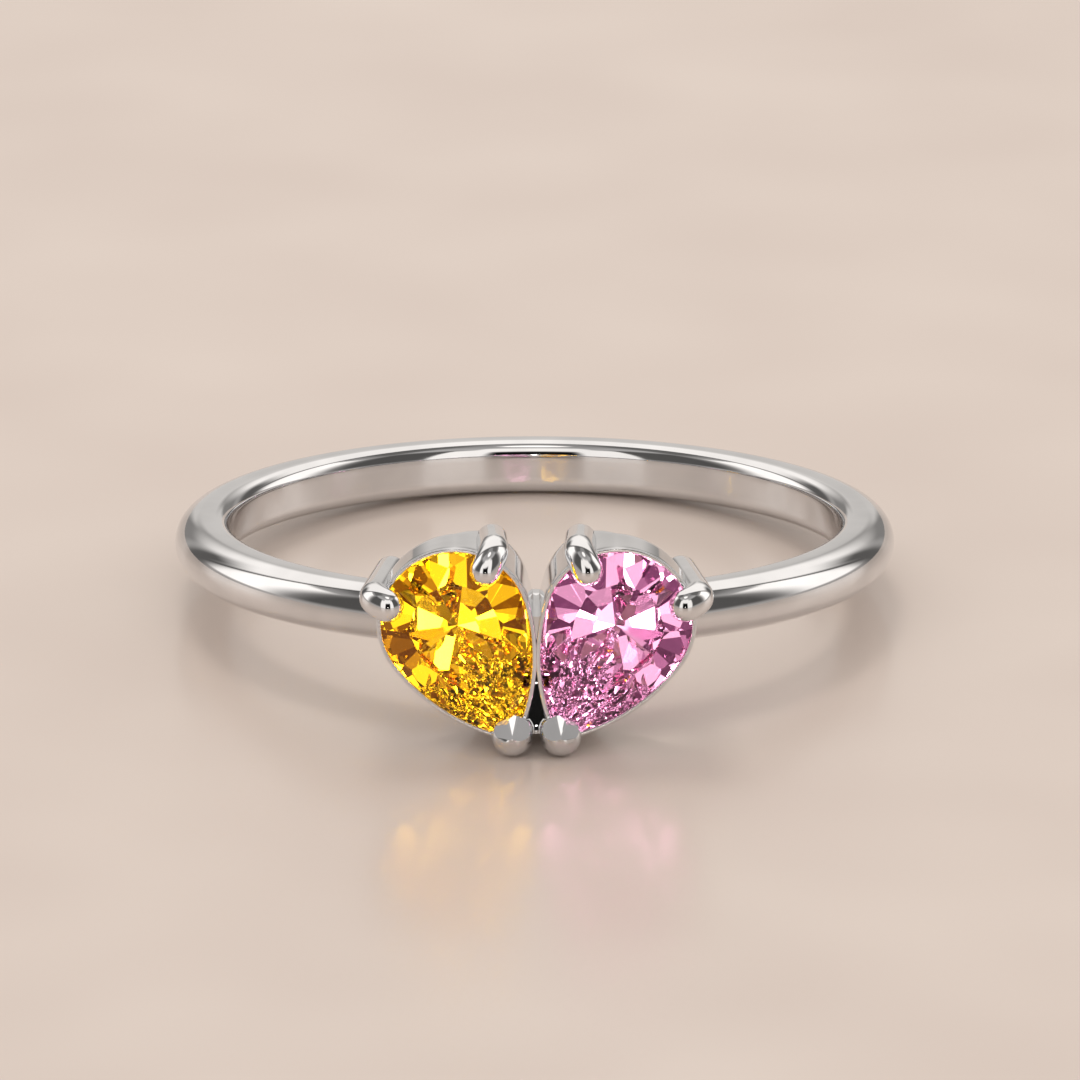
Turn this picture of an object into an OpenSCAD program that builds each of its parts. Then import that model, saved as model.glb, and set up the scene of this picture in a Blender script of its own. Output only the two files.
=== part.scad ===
// Finger ring with two pear cut stones, a yellow one and a pink one.
// The stones stand side by side with their points down and together, like an open heart.
// Each stone sits in an open cup with three claws. Band, cups and claws are one soldered piece.
// The pieces are made in the ring's own frame: the finger hole runs along Z, the band's middle
// plane is Z = 0 and the stones face -Y. The last step lays the ring on its side, as it rests.
// Sizes are in millimetres and degrees.

/* [Band] */
// Inner diameter of the band, which is the finger size
finger_d = 17.3; // [16.9:0.1:17.7]
// Width of the band along the finger
band_w = 1.55; // [1.4:0.05:1.7]
// Thickness of the band from the finger outwards
band_t = 1.55; // [1.4:0.05:1.7]
// Radius of the two rounded edges inside the band
band_edge_r = 0.25; // [0.2:0.05:0.35]

/* [Stones] */
// Width of each stone
stone_w = 3.95; // [3.85:0.05:4.05]
// Length of each stone from its round end to its point
stone_l = 5.55; // [5.45:0.05:5.65]
// Lean of each stone's long axis away from the finger hole's axis
stone_lean = 27; // [26:0.5:28]
// How far the round end's circle runs on past the widest place
shoulder_angle = 11; // [9:1:12]
// Distance from the finger hole's axis to the stones' widest plane
girdle_d = 12.2; // [12.1:0.05:12.3]
// Thickness of the stones' thin edge
girdle_t = 0.12; // [0.1:0.01:0.14]
// Height of the stones' top above the thin edge
crown_h = 0.53; // [0.48:0.01:0.58]
// Slope of the eight large facets of the top
crown_angle = 34; // [32:1:36]
// Slope of the large facet of the top that runs down to the point
point_angle = 24; // [23:1:26]
// Depth of the stones below the thin edge
pavilion_h = 1.72; // [1.65:0.01:1.75]

/* [Cups] */
// Width of the metal rim that shows round each stone
rim_w = 0.12; // [0.11:0.01:0.15]
// Width of the ledge that carries each stone from below
seat_w = 0.25; // [0.2:0.01:0.3]
// Gap between a stone and the metal
stone_gap = 0.025; // [0.02:0.005:0.04]
// Depth of the cups behind the stones' widest plane, where they meet
cup_depth = 3; // [2.9:0.05:3.1]
// Depth of the cups at their outer ends
cup_end_depth = 1; // [0.9:0.05:1.1]

/* [Claws] */
// Radius of the claws' round wire
claw_r = 0.38; // [0.36:0.01:0.41]
// Place of the upper inner claw, as an angle from the round end's top towards the other stone
inner_claw_angle = 55; // [52:1:58]
// Place of the outer claw, as an angle from the round end's top away from the other stone
outer_claw_angle = 44; // [40:1:46]
// Radius of the bead that covers each stone's point
bead_r = 0.57; // [0.55:0.01:0.59]

/* [Hidden] */

$fn = 96;
far = 20;

// Band section: a half round outside, flat inside
finger_r = finger_d / 2;
band_dome_r = band_w / 2;
band_dome_d = finger_r + band_t - band_dome_r;

// Pear outline: a circle at the round end and two side arcs that meet at the point
round_r = stone_w / 2;
point_d = stone_l - round_r;
side_d = (pow(point_d, 2) - pow(round_r, 2)) / (2 * (round_r - point_d * sin(shoulder_angle)));
side_r = round_r + side_d;
side_centre = [-side_d * cos(shoulder_angle), -side_d * sin(shoulder_angle)];

// Facets of a stone: eight large ones, and as many stretches of edge between them
mains = 8;
edge_steps = 8;
main_step = 360 / mains;
star_h = 0.66 * crown_h;
lower_half_ratio = 0.24;
culet_y = 0.2;

// Place of the stones in the head: cup rims that just meet, and a heart centred on the band
metal_out = stone_gap + rim_w;
rim_overlap = 0.012;
side_reach = side_r - side_d * cos(stone_lean - shoulder_angle);
stone_x = side_reach + metal_out - rim_overlap;
stone_z = (point_d * cos(stone_lean) - round_r) / 2;

// Cups
rim_top = girdle_t / 2;
cup_h = 4;
cup_end_x = 4.5;
// Corners of the back edge of the cups, as [distance from the middle, depth]
cup_back = [
    [0, cup_depth],
    [1.15, cup_depth],
    [2.2, (cup_depth + 2 * cup_end_depth) / 3],
    [cup_end_x, cup_end_depth]
];

// Bridge between the cups, with a round trough where their rims part
bridge_half_w = 0.4;
bridge_recess = 0.4;
trough_r = 0.2;
trough_z = stone_z + 0.14;
bridge_low_z = -2.6;
bridge_h = trough_z + trough_r - bridge_low_z;

// Claws
claw_out = 0.2;
claw_bend_r = claw_r + 0.02;
claw_bend_angle = 70;
claw_bend_w = 0.06;
claw_tip = 0.07;
inner_claw_back = 2.1;
outer_claw_back = 3.4;
outer_claw_lean = 9;
post_r = 0.34;

// Point beads
bead_in = 0.1;
bead_lift = 0.25;
bead_stem_r = 0.42;
bead_lean = 9;
bead_facet_angle = 38;
bead_facet_fan = 24;
bead_facet_d = 0.4;

// Rest on a flat surface: both beads and the back of the band touch it
bead_axis_d = point_d - bead_in;
bead_y = -girdle_d - bead_lift;
bead_z = stone_z - bead_axis_d * cos(stone_lean);
rest_run = band_dome_d - bead_y;
rest_span = sqrt(pow(rest_run, 2) + pow(bead_z, 2));
rest_tilt = atan2(-bead_z, rest_run) + asin((bead_r - band_dome_r) / rest_span);
rest_z = bead_r - bead_z * cos(rest_tilt) + bead_y * sin(rest_tilt);
front_y = bead_y * cos(rest_tilt) + bead_z * sin(rest_tilt) - bead_r;
back_y = band_dome_d * cos(rest_tilt) + band_dome_r;
rest_y = -(front_y + back_y) / 2;

// Point of a pear outline at an angle from the point's direction, as seen from the round centre
function side_hit(dir, reach) =
    let (along = dir * side_centre)
    along + sqrt(pow(along, 2) - pow(side_d, 2) + pow(reach, 2));
function outline_r(angle, grow) =
    angle >= 90 - shoulder_angle
        ? round_r + grow
        : side_hit([sin(angle), cos(angle)], side_r + grow);
function turn(angle) = angle > 180 ? 360 - angle : angle;
function side_of(angle) = angle > 180 ? -1 : 1;
function outline_at(angle, grow) =
    let (a = turn(angle), r = outline_r(a, grow))
    [side_of(angle) * r * sin(a), r * cos(a)];

// Outward direction of the outline at the same angle, straight ahead at the point itself
function outline_normal(angle) =
    let (a = turn(angle), s = side_of(angle), p = outline_at(a, 0))
    a == 0
        ? [0, 1]
        : a >= 90 - shoulder_angle
            ? [s * sin(a), cos(a)]
            : [s * (p[0] - side_centre[0]) / side_r, (p[1] - side_centre[1]) / side_r];

// Where two lines in the plane meet, each given by its normal and its distance along it
function meet(n1, d1, n2, d2) =
    let (det = n1[0] * n2[1] - n1[1] * n2[0])
    [(d1 * n2[1] - d2 * n1[1]) / det, (n1[0] * d2 - n2[0] * d1) / det];

// Height over the plane of a facet through three points
function facet_z(p, a, b, c) =
    let (n = cross(b - a, c - a))
    a[2] - (n[0] * (p[0] - a[0]) + n[1] * (p[1] - a[1])) / n[2];

// Large facet number i: its place on the edge, its direction and its slope
function main_angle(i) = (i % mains) * main_step;
function main_slope(i) = i % mains == 0 ? tan(point_angle) : tan(crown_angle);
function main_line(i, grow, h) =
    let (a = main_angle(i))
    outline_normal(a) * outline_at(a, grow) - h / main_slope(i);

// Corners of the facets, grow is the gap by which a seat is larger than its stone
function table_point(i, grow) =
    let (n = outline_normal(main_angle(i)), g = outline_at(main_angle(i), grow))
    let (k = main_line(i, grow, crown_h) / (n * g))
    [k * g[0], k * g[1], girdle_t / 2 + crown_h + grow];
function star_point(i, grow) =
    let (q = meet(outline_normal(main_angle(i)), main_line(i, grow, star_h),
                  outline_normal(main_angle(i + 1)), main_line(i + 1, grow, star_h)))
    [q[0], q[1], girdle_t / 2 + star_h + grow];
function low_point(i, grow) =
    let (q = meet(outline_normal(main_angle(i)), main_line(i, grow, 0),
                  outline_normal(main_angle(i + 1)), main_line(i + 1, grow, 0)))
    let (t = lower_half_ratio)
    [t * q[0], culet_y + t * (q[1] - culet_y), -girdle_t / 2 - grow - (1 - t) * pavilion_h];

// One point of the stone's thin edge, on the crown side (side = 1) or the other (side = -1)
function edge_point(j, grow, side) =
    let (half_steps = edge_steps / 2, i = floor(j / edge_steps))
    let (start = floor(j / half_steps) * half_steps)
    let (unit = main_step / edge_steps, z = side * (girdle_t / 2 + grow))
    let (a = outline_at(start * unit, grow), b = outline_at((start + half_steps) * unit % 360, grow))
    let (p = outline_at(j * unit, grow))
    let (tip = side > 0 ? star_point(i, grow) : low_point(i, grow))
    [p[0], p[1], facet_z(p, [a[0], a[1], z], [b[0], b[1], z], tip)];

// A pear brilliant with its thin edge in the plane z = 0, its point towards +Y and its table up
module pear_brilliant(grow) {
    n = mains * edge_steps;
    half = edge_steps / 2;
    table0 = 2 * n;
    star0 = table0 + mains;
    low0 = star0 + mains;
    culet = low0 + mains;
    points = concat(
        [for (j = [0 : n - 1]) edge_point(j, grow, 1)],
        [for (j = [0 : n - 1]) edge_point(j, grow, -1)],
        [for (i = [0 : mains - 1]) table_point(i, grow)],
        [for (i = [0 : mains - 1]) star_point(i, grow)],
        [for (i = [0 : mains - 1]) low_point(i, grow)],
        [[0, culet_y, -girdle_t / 2 - grow - pavilion_h]]
    );
    faces = concat(
        [[for (i = [0 : mains - 1]) table0 + i]],
        [for (i = [0 : mains - 1]) [table0 + i, star0 + i, table0 + (i + 1) % mains]],
        [for (i = [0 : mains - 1])
            [table0 + i, star0 + (i + mains - 1) % mains, i * edge_steps, star0 + i]],
        [for (h = [0 : 2 * mains - 1])
            concat([star0 + floor(h / 2)], [for (k = [0 : half]) (h * half + k) % n])],
        [for (j = [0 : n - 1]) [j, n + j, n + (j + 1) % n, (j + 1) % n]],
        [for (h = [0 : 2 * mains - 1])
            concat([low0 + floor(h / 2)], [for (k = [half : -1 : 0]) n + (h * half + k) % n])],
        [for (i = [0 : mains - 1])
            [culet, low0 + i, n + i * edge_steps, low0 + (i + mains - 1) % mains]]
    );
    polyhedron(points = points, faces = faces, convexity = 2);
}

// The pear outline as exact arcs, made larger by grow
module pear_outline(grow) {
    x = far * cos(shoulder_angle);
    y = far * sin(shoulder_angle);
    circle(r = round_r + grow);
    intersection() {
        translate(side_centre)
            circle(r = side_r + grow);
        translate([-side_centre[0], side_centre[1]])
            circle(r = side_r + grow);
        polygon([[0, 0], [x, y], [x, far], [-x, far], [-x, y]]);
    }
}

// Puts a thing made in a stone's frame at the left stone's place in the head
module at_stone() {
    translate([-stone_x, -girdle_d, stone_z])
        rotate([90, 0, 0])
            rotate([0, 0, 180 + stone_lean])
                children();
}

module both_sides() {
    children();
    mirror([1, 0, 0])
        children();
}

// Lays the finished ring on its side, with its lowest points at z = 0
module laid_to_rest() {
    translate([0, rest_y, rest_z])
        rotate([-rest_tilt, 0, 0])
            children();
}

module band() {
    rotate_extrude()
        union() {
            translate([band_dome_d, 0])
                circle(r = band_dome_r);
            translate([finger_r, -band_dome_r + band_edge_r])
                square([band_dome_d - finger_r, band_w - 2 * band_edge_r]);
            translate([finger_r + band_edge_r, -band_dome_r])
                square([band_dome_d - finger_r - band_edge_r, band_w]);
            for (side = [-1, 1])
                translate([finger_r + band_edge_r, side * (band_dome_r - band_edge_r)])
                    circle(r = band_edge_r);
        }
}

// Wall round one stone, in the stone's frame, open at the back
module cup_wall() {
    translate([0, 0, -cup_h])
        linear_extrude(cup_h + rim_top)
            difference() {
                pear_outline(metal_out);
                pear_outline(-seat_w);
            }
}

// Claw of round wire whose foot leans towards the stone, and whose end bends over it, towards +Y
module claw(back, lean) {
    bend = claw_bend_angle + lean;
    rotate([lean, 0, 0]) {
        translate([0, 0, -back])
            cylinder(r = claw_r, h = back + claw_bend_w);
        translate([0, claw_bend_r, claw_bend_w]) {
            rotate([90, 0, -90])
                rotate_extrude(angle = bend)
                    translate([claw_bend_r, 0])
                        circle(r = claw_r);
            rotate([-bend, 0, 0])
                translate([0, -claw_bend_r, 0]) {
                    cylinder(r = claw_r, h = claw_tip);
                    translate([0, 0, claw_tip])
                        sphere(r = claw_r);
                }
        }
    }
}

// Puts a claw at an angle round the stone, from the top of its round end
module claw_at(angle, back, lean) {
    rotate([0, 0, -angle])
        translate([0, -round_r - claw_out, 0])
            claw(back, lean);
}

// Bead over the stone's point, with two flats cut across its upper face, and its leaning stem
module point_bead() {
    translate([0, bead_axis_d, bead_lift]) {
        rotate([-bead_lean, 0, 0])
            translate([0, 0, -cup_h])
                cylinder(r = bead_stem_r, h = cup_h);
        difference() {
            sphere(r = bead_r);
            for (side = [-1, 1])
                rotate([0, 0, side * bead_facet_fan])
                    rotate([bead_facet_angle, 0, 0])
                        translate([-bead_r, -bead_r, bead_facet_d])
                            cube(2 * bead_r);
        }
    }
}

// Space behind the left cup, bounded in front by its back edge
module behind_cup() {
    edge = [for (p = cup_back) [-p[0], p[1]]];
    corners = concat([[1, cup_depth]], edge, [[-cup_end_x, cup_h + 1], [1, cup_h + 1]]);
    translate([0, -girdle_d, -far / 2])
        linear_extrude(far)
            polygon(corners);
}

// Space below the left cup's point, whose lower edge rises towards the band as the stem does
module below_cup() {
    translate([0, -girdle_d, bead_z - bead_stem_r])
        rotate([bead_lean, 0, 0])
            translate([-far / 2, -1, -far])
                cube(far);
}

// Metal round one stone, cut off along its back edge
module cup() {
    difference() {
        union() {
            difference() {
                at_stone()
                    cup_wall();
                below_cup();
            }
            at_stone() {
                claw_at(inner_claw_angle, inner_claw_back, 0);
                point_bead();
            }
        }
        behind_cup();
    }
}

// Outer claw, which runs back to the band and is turned down onto it
module outer_claw() {
    foot_angle = 90 + stone_lean + outer_claw_angle;
    foot_r = round_r + claw_out - outer_claw_back * tan(outer_claw_lean);
    at_stone()
        claw_at(-outer_claw_angle, (outer_claw_back + post_r) / cos(outer_claw_lean), outer_claw_lean);
    translate([-stone_x + foot_r * cos(foot_angle), -girdle_d + outer_claw_back, 0])
        cylinder(r = post_r, h = stone_z + foot_r * sin(foot_angle));
}

// Bridge that joins the two cups and carries them on the band
module bridge() {
    translate([-bridge_half_w, -girdle_d + bridge_recess, bridge_low_z])
        difference() {
            cube([2 * bridge_half_w, cup_depth - bridge_recess, bridge_h]);
            translate([bridge_half_w, -1, bridge_h])
                rotate([-90, 0, 0])
                    cylinder(r = trough_r, h = cup_h);
        }
}

module ring_mount() color([0.86, 0.86, 0.87])
    laid_to_rest()
        difference() {
            union() {
                band();
                both_sides()
                    cup();
                bridge();
                both_sides()
                    outer_claw();
            }
            both_sides()
                at_stone()
                    pear_brilliant(stone_gap);
        }

module yellow_stone() color([0.98, 0.72, 0.05, 0.8])
    laid_to_rest()
        at_stone()
            pear_brilliant(0);

module pink_stone() color([0.87, 0.5, 0.72, 0.8])
    laid_to_rest()
        mirror([1, 0, 0])
            at_stone()
                pear_brilliant(0);

ring_mount();
yellow_stone();
pink_stone();
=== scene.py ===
"""Looks of a finger ring that carries a yellow and a pink pear cut stone like an open heart.

The ring lies on its side, on the two beads of its head and on the back of its band. Shapes are worked out in
millimetres in the ring's own frame: the finger hole runs along Z, the band's middle plane is Z = 0 and the
stones face -Y. PieceMaker then lays each piece to rest and turns millimetres into metres.
"""

import logging
import math
from collections.abc import Sequence
from dataclasses import dataclass
from enum import Enum

import bmesh
import bpy
from bmesh.types import BMesh
from bpy.types import ID, Material, Mesh, Node, NodeSocket, NodeTree, Object
from mathutils import Matrix, Vector


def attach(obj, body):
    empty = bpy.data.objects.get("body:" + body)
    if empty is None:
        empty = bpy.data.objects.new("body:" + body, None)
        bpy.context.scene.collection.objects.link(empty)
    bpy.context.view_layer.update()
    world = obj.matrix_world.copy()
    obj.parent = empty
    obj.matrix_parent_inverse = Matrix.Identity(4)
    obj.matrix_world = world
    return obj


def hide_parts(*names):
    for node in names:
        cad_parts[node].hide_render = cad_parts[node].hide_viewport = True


LOG = logging.getLogger("finger_ring")
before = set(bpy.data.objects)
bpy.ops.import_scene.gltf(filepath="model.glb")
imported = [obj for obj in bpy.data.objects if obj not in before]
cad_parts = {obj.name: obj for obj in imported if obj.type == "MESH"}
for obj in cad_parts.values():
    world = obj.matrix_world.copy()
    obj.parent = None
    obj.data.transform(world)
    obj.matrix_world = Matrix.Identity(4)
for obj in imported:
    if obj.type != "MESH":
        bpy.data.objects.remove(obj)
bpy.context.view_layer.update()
MM = 0.001
FULL_TURN = 2 * math.pi
ZENITH = 90.0  # elevation straight up, in degrees
AT_POINT = 1e-6  # turn below which a place is the stone's very point, in radians
CAP_STEP = 5  # step between the loops of a wire's round end, in degrees
MOUNT = "ring_mount"


class Side(Enum):
    """The two halves of the head, by the sign of X on which each one lies."""

    LEFT = -1
    RIGHT = 1

    @property
    def flip(self) -> Matrix:
        """Matrix that takes shapes of the left half to this half."""
        return Matrix.Diagonal((-self.value, 1, 1, 1))


class Slot(Enum):
    """The record's material slots."""

    METAL = "white_metal"
    YELLOW = "yellow_gem"
    PINK = "pink_gem"


def srgb_to_linear(code: str) -> tuple[float, float, float, float]:
    """Turns an sRGB colour into Blender's linear one.

    Args:
        code: The colour as a hex value, such as "#FFD21E".

    Returns:
        Red, green, blue and a full alpha, in linear light.
    """
    parts = [int(code[i : i + 2], 16) / 255 for i in (1, 3, 5)]
    # The numbers are those of the sRGB standard.
    linear = [p / 12.92 if p <= 0.04045 else ((p + 0.055) / 1.055) ** 2.4 for p in parts]
    return (linear[0], linear[1], linear[2], 1.0)


def lit(code: str, strength: float) -> tuple[float, ...]:
    """Linear colour of an sRGB hex value at a strength, with a full alpha."""
    return (*(strength * part for part in srgb_to_linear(code)[:3]), 1.0)


def add_node(tree: NodeTree, kind: str, settings: dict | None = None, links: dict | None = None) -> Node:
    """Adds one shader node.

    Args:
        tree: The node tree that takes the node.
        kind: The node's type name.
        settings: Values by attribute name, or else by input name or number.
        links: Output sockets by the name or number of the input that each one feeds.

    Returns:
        The new node.
    """
    node = tree.nodes.new(kind)
    for key, value in (settings or {}).items():
        if isinstance(key, str) and hasattr(node, key):
            setattr(node, key, value)
        else:
            node.inputs[key].default_value = value
    for key, socket in (links or {}).items():
        tree.links.new(socket, node.inputs[key])
    return node


def fill_ramp(node: Node, stops: Sequence[tuple[float, str, float]]) -> None:
    """Sets the stops of a colour ramp.

    Args:
        node: The colour ramp node.
        stops: Rows of place, sRGB hex colour and strength, from low to high.
    """
    elements = node.color_ramp.elements
    while len(elements) < len(stops):
        elements.new(1.0)
    for element, (place, code, strength) in zip(elements, stops):
        element.position = place
        element.color = lit(code, strength)


def start_finish(name: str) -> tuple[Material, NodeTree]:
    """Adds a material and returns it with its empty node tree."""
    material = bpy.data.materials.new(name)
    material.use_nodes = True
    material.node_tree.nodes.clear()
    return material, material.node_tree


def mesh_data(name: str, mesh: BMesh, material: Material) -> Mesh:
    """Turns a mesh, which is used up, into Blender's mesh data with one material."""
    data = bpy.data.meshes.new(name)
    mesh.to_mesh(data)
    mesh.free()
    data.materials.append(material)
    return data


def add_object(name: str, data: ID) -> Object:
    """Adds an object with its data to the scene."""
    thing = bpy.data.objects.new(name, data)
    bpy.context.scene.collection.objects.link(thing)
    return thing


def between(table: Sequence[tuple[float, float]], at: float) -> float:
    """Reads a table, straight from row to row.

    Args:
        table: Rows of place and value, by rising place.
        at: The place to read.

    Returns:
        The value there, and the last row's value beyond the table.
    """
    for (x0, v0), (x1, v1) in zip(table, table[1:]):
        if at <= x1:
            return v0 + (v1 - v0) * (at - x0) / (x1 - x0)
    return table[-1][1]


@dataclass(frozen=True)
class PearOutline:
    """Outline of a pear cut stone: a circle at the round end and two side arcs that meet at the point."""

    width: float = 3.95
    length: float = 5.55
    shoulder: float = math.radians(11)

    @property
    def round_r(self) -> float:
        """Radius of the round end."""
        return self.width / 2

    @property
    def point_d(self) -> float:
        """Distance of the point from the round end's centre."""
        return self.length - self.round_r

    @property
    def side_d(self) -> float:
        """Distance of the side arcs' centres from the round end's centre."""
        half = self.round_r - self.point_d * math.sin(self.shoulder)
        return (self.point_d**2 - self.round_r**2) / (2 * half)

    def reach(self, angle: float, grow: float) -> float:
        """Distance from the round centre to the grown outline.

        Args:
            angle: Angle from the point's direction, in radians.
            grow: How far the outline is moved outwards, in millimetres.

        Returns:
            The distance, in millimetres.
        """
        turned = angle % FULL_TURN
        turned = min(turned, FULL_TURN - turned)
        if turned >= math.pi / 2 - self.shoulder:
            return self.round_r + grow
        side_r = self.round_r + self.side_d + grow
        along = -self.side_d * math.sin(turned + self.shoulder)
        return along + math.sqrt(along**2 - self.side_d**2 + side_r**2)

    def place(self, angle: float, grow: float) -> tuple[float, float]:
        """Point of the grown outline at an angle from the point's direction."""
        r = self.reach(angle, grow)
        return (r * math.sin(angle), r * math.cos(angle))

    def facing(self, angle: float) -> Vector:
        """Direction that the outline faces at an angle from the point's direction."""
        turned = angle % FULL_TURN
        side = 1 if turned <= math.pi else -1
        turned = min(turned, FULL_TURN - turned)
        if turned >= math.pi / 2 - self.shoulder:
            return Vector((math.sin(angle), math.cos(angle), 0))
        if turned < AT_POINT:
            return Vector((0, 1, 0))
        x, y = self.place(turned, 0)
        back_x, back_y = self.side_d * math.cos(self.shoulder), self.side_d * math.sin(self.shoulder)
        away = Vector((x + back_x, y + back_y, 0)).normalized()
        return Vector((side * away.x, away.y, 0))


@dataclass(frozen=True)
class RingSizes:
    """Driving sizes of the ring, in millimetres and radians, and the places that follow from them."""

    finger_d: float = 17.3
    band_w: float = 1.55
    band_t: float = 1.55
    band_edge_r: float = 0.42
    outline: PearOutline = PearOutline()
    stone_lean: float = math.radians(27)
    girdle_d: float = 12.2
    girdle_t: float = 0.12
    rim_w: float = 0.12
    seat_w: float = 0.25
    stone_gap: float = 0.025
    rim_overlap: float = 0.012
    cup_depth: float = 3.0
    cup_end_depth: float = 1.0
    cup_least_depth: float = 0.3
    cup_deep_x: float = 1.15
    cup_step_x: float = 2.2
    cup_end_x: float = 4.5
    bead_r: float = 0.57
    bead_in: float = 0.1
    bead_lift: float = 0.25
    bead_stem_r: float = 0.42
    bead_lean: float = math.radians(9)

    @property
    def dome_r(self) -> float:
        """Radius of the band's round outside."""
        return self.band_w / 2

    @property
    def dome_d(self) -> float:
        """Distance of the round outside's centre from the finger hole's axis."""
        return self.finger_d / 2 + self.band_t - self.dome_r

    @property
    def metal_out(self) -> float:
        """How far the cup's outer face stands outside the stone's outline."""
        return self.stone_gap + self.rim_w

    @property
    def stone_x(self) -> float:
        """Distance of a stone's round centre from the head's middle plane."""
        pear = self.outline
        side = pear.round_r + pear.side_d * (1 - math.cos(self.stone_lean - pear.shoulder))
        return side + self.metal_out - self.rim_overlap

    @property
    def stone_z(self) -> float:
        """Height of a stone's round centre over the band's middle plane."""
        return (self.outline.point_d * math.cos(self.stone_lean) - self.outline.round_r) / 2

    @property
    def bead_y(self) -> float:
        """Place of the bead's centre along Y."""
        return -self.girdle_d - self.bead_lift

    @property
    def bead_z(self) -> float:
        """Height of the bead's centre over the band's middle plane."""
        return self.stone_z - (self.outline.point_d - self.bead_in) * math.cos(self.stone_lean)

    def at_rest(self) -> Matrix:
        """Matrix that lays the ring on its beads and its band's back and turns millimetres into metres."""
        run = self.dome_d - self.bead_y
        span = math.hypot(run, self.bead_z)
        tilt = math.atan2(-self.bead_z, run) + math.asin((self.bead_r - self.dome_r) / span)
        low = self.bead_r - self.bead_z * math.cos(tilt) + self.bead_y * math.sin(tilt)
        front = self.bead_y * math.cos(tilt) + self.bead_z * math.sin(tilt) - self.bead_r
        back = self.dome_d * math.cos(tilt) + self.dome_r
        rest = Matrix.Translation((0, -(front + back) / 2, low)) @ Matrix.Rotation(-tilt, 4, "X")
        return Matrix.Scale(MM, 4) @ rest

    def at_stone(self, side: Side) -> Matrix:
        """Matrix from a stone's own frame, its point towards +Y and its table up, to the ring's frame.

        Args:
            side: The half of the head that the stone is on.

        Returns:
            The matrix, which mirrors the right half.
        """
        place = Matrix.Translation((-self.stone_x, -self.girdle_d, self.stone_z))
        turn = Matrix.Rotation(math.pi / 2, 4, "X") @ Matrix.Rotation(math.pi + self.stone_lean, 4, "Z")
        return side.flip @ place @ turn

    def cup_depth_at(self, x: float, z: float) -> float:
        """Depth of a cup's wall behind the stones' widest plane, less behind the beads, which it must clear.

        Args:
            x: Place across the head, in the ring's frame.
            z: Height in the ring's frame.

        Returns:
            The depth, in millimetres.
        """
        step_depth = (self.cup_depth + 2 * self.cup_end_depth) / 3
        table = (
            (0.0, self.cup_depth),
            (self.cup_deep_x, self.cup_depth),
            (self.cup_step_x, step_depth),
            (self.cup_end_x, self.cup_end_depth),
        )
        depth = between(table, min(abs(x), self.cup_end_x))
        above_cut = z - (self.bead_z - self.bead_stem_r)
        return min(depth, max(self.cup_least_depth, above_cut / math.tan(self.bead_lean)))


Loop = list[Vector]
Points = list[tuple[float, float]]


def loft(loops: Sequence[Loop], around: bool = False) -> BMesh:
    """Joins closed loops of points into one closed mesh.

    Args:
        loops: Loops in order, all with the same number of points.
        around: True joins the last loop to the first, and otherwise both end loops are filled.

    Returns:
        The mesh, with its faces outwards.
    """
    mesh = bmesh.new()
    rows = [[mesh.verts.new(p) for p in loop] for loop in loops]
    count = len(rows[0])
    pairs = list(zip(rows, rows[1:])) + ([(rows[-1], rows[0])] if around else [])
    for first, second in pairs:
        for i in range(count):
            j = (i + 1) % count
            mesh.faces.new((first[i], first[j], second[j], second[i]))
    if not around:
        mesh.faces.new(rows[0])
        mesh.faces.new(rows[-1])
    bmesh.ops.recalc_face_normals(mesh, faces=mesh.faces)
    return mesh


def grind(mesh: BMesh, place: Vector, facing: Vector) -> None:
    """Grinds one flat on a closed convex mesh.

    Args:
        mesh: The mesh, which loses what is in front of the flat and stays closed.
        place: A point of the flat.
        facing: The way that the flat faces.
    """
    close = 1e-5
    everything = mesh.verts[:] + mesh.edges[:] + mesh.faces[:]
    bmesh.ops.bisect_plane(
        mesh, geom=everything, dist=close, plane_co=place, plane_no=facing, clear_outer=True
    )
    bmesh.ops.dissolve_degenerate(mesh, dist=close, edges=mesh.edges)
    bmesh.ops.holes_fill(mesh, edges=[e for e in mesh.edges if e.is_boundary], sides=0)


def arc(centre: tuple[float, float], radius: float, start: float, end: float, steps: int) -> Points:
    """Points of a plane arc, both ends included.

    Args:
        centre: The arc's centre.
        radius: Its radius.
        start: Start angle in degrees.
        end: End angle in degrees.
        steps: Number of stretches.

    Returns:
        The points in order.
    """
    angles = [math.radians(start + (end - start) * i / steps) for i in range(steps + 1)]
    return [(centre[0] + radius * math.cos(a), centre[1] + radius * math.sin(a)) for a in angles]


def tube(path: Sequence[Vector], radius: float, round_ends: tuple[bool, bool], sides: int = 56) -> BMesh:
    """Round wire along a path in the plane x = 0.

    Args:
        path: Points of the wire's middle line.
        radius: Radius of the wire.
        round_ends: Whether the wire's start and its end are rounded over, or else cut off square.
        sides: Points round the wire.

    Returns:
        The wire's closed mesh.
    """
    across = Vector((1, 0, 0))
    turns = [FULL_TURN * k / sides for k in range(sides)]

    def ring(centre: Vector, ahead: Vector, r: float) -> Loop:
        """One loop of points round the wire."""
        up = ahead.cross(across)
        return [centre + r * (across * math.cos(a) + up * math.sin(a)) for a in turns]

    def cap(centre: Vector, ahead: Vector, way: int) -> list[Loop]:
        """Loops of a round end, from the wire outwards, ahead of the wire or behind it."""
        angles = [math.radians(turn) for turn in range(CAP_STEP, 90, CAP_STEP)]
        tip = way * ahead * radius
        return [ring(centre + tip * math.sin(a), ahead, radius * math.cos(a)) for a in angles]

    last = len(path) - 1
    steps = [(path[min(i + 1, last)] - path[max(i - 1, 0)]).normalized() for i in range(last + 1)]
    loops = [ring(point, ahead, radius) for point, ahead in zip(path, steps)]
    if round_ends[0]:
        loops = cap(path[0], steps[0], -1)[::-1] + loops
    if round_ends[1]:
        loops += cap(path[-1], steps[-1], 1)
    return loft(loops)


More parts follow.
